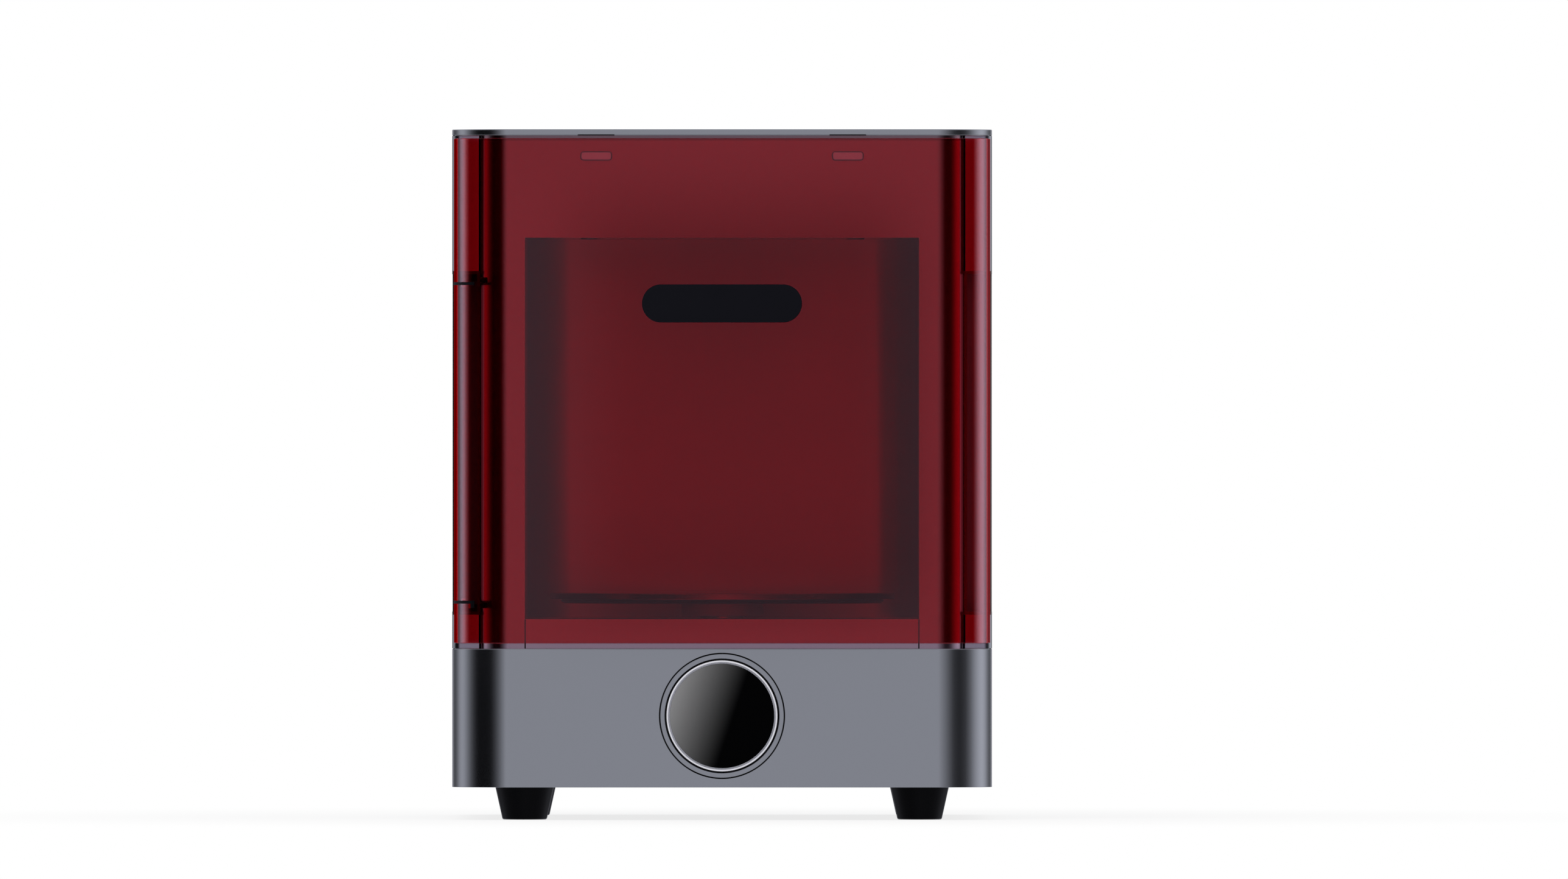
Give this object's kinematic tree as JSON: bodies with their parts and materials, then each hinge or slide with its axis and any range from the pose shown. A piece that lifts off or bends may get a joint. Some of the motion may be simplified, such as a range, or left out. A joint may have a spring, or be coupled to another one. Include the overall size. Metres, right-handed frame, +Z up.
{
  "type": "dental lab light curing unit",
  "caption": "Benchtop curing cabinet with a U-shaped hinged door of red acrylic, a turntable, a light source above the chamber and a press-and-turn knob on a grey base with feet.",
  "frame": {"origin": "on the floor, below the middle of the unit's bounding box", "axes": "+X to the unit's right, +Y to its back, +Z up; the door and the knob face -Y"},
  "size_m": [0.265, 0.268, 0.339],
  "materials": {
    "grey_metal": "satin, fine grain",
    "frame_grey": "satin powder coat",
    "red_acrylic": "polished transparent acrylic",
    "black_rubber": "matt",
    "black_plastic": "fine texture",
    "chamber_metal": "bright satin",
    "hinge_metal": "dark satin",
    "ring_metal": "turned and anodised",
    "black_glass": "polished black",
    "name_plate_black": "satin, bare",
    "board_green": "solder mask",
    "supply_metal": "zinc plated sheet",
    "steel": "ground",
    "brass_contact": "plain",
    "sink_aluminium": "extruded",
    "frosted_diffuser": "frosted"
  },
  "bodies": {
    "cabinet": {"base_housing": "grey_metal", "base_plate": "black_plastic", "foot_front_left": "black_rubber", "foot_front_right": "black_rubber", "foot_rear_left": "black_rubber", "foot_rear_right": "black_rubber", "power_supply": "supply_metal", "control_board": "board_green", "gearmotor": "supply_metal", "power_tray": "black_plastic", "power_inlet": "black_plastic", "inlet_blade_line": "brass_contact", "inlet_blade_earth": "brass_contact", "inlet_blade_neutral": "brass_contact", "rocker_frame": "black_plastic", "knob_bezel": "grey_metal", "knob_bracket": "black_plastic", "encoder_board": "board_green", "outer_shell": "grey_metal", "driver_board": "board_green", "hinge_pocket": "black_plastic", "grip_pocket": "black_plastic", "front_frame": "frame_grey", "sill_plate": "frame_grey", "chamber_liner": "chamber_metal", "chamber_floor": "chamber_metal", "turntable_bush": "brass_contact", "ceiling_plate": "frame_grey", "diffuser": "frosted_diffuser", "led_board": "board_green", "heat_sink": "sink_aluminium", "fan_frame": "black_plastic", "fan_guard": "steel", "lid": "grey_metal", "catch_plate_left": "steel", "catch_plate_right": "steel", "hinge_block_upper": "hinge_metal", "hinge_block_lower": "hinge_metal", "hinge_pin_upper": "steel", "hinge_pin_lower": "steel"},
    "door": {"door_shell": "red_acrylic", "hinge_arm_upper": "hinge_metal", "hinge_arm_lower": "hinge_metal", "door_magnet_left": "steel", "door_magnet_right": "steel", "name_plate": "name_plate_black"},
    "turntable": {"turntable_plate": "chamber_metal", "turntable_hub": "steel", "motor_shaft": "steel"},
    "knob": {"knob_carriage": "black_plastic", "display_module": "black_plastic", "knob_glass": "black_glass"},
    "knob_rim": {"knob_ring": "ring_metal"},
    "fan": {"fan_rotor": "black_plastic"},
    "power_switch": {"rocker": "black_plastic"}
  },
  "joints": [
    {"name": "door_hinge", "type": "hinge", "parent": "cabinet", "child": "door", "pos_m": [-0.1266, -0.103, 0.185], "axis": [0, 0, -1], "range_deg": [0, 100]},
    {"name": "turntable_spin", "type": "hinge", "parent": "cabinet", "child": "turntable", "pos_m": [0, -0.02625, 0.1095], "axis": [0, 0, 1], "continuous": true},
    {"name": "knob_press", "type": "slide", "parent": "cabinet", "child": "knob", "axis": [0, 1, 0], "range_m": [0, 0.0008], "stiffness_N_per_m": 2000},
    {"name": "knob_turn", "type": "hinge", "parent": "knob", "child": "knob_rim", "pos_m": [0, -0.126, 0.0511], "axis": [0, -1, 0], "continuous": true},
    {"name": "fan_spin", "type": "hinge", "parent": "cabinet", "child": "fan", "pos_m": [0, 0.12, 0.298], "axis": [0, 1, 0], "continuous": true},
    {"name": "power_rocker", "type": "hinge", "parent": "cabinet", "child": "power_switch", "pos_m": [-0.022, 0.1265, 0.05], "axis": [-1, 0, 0], "range_deg": [0, 16]}
  ]
}
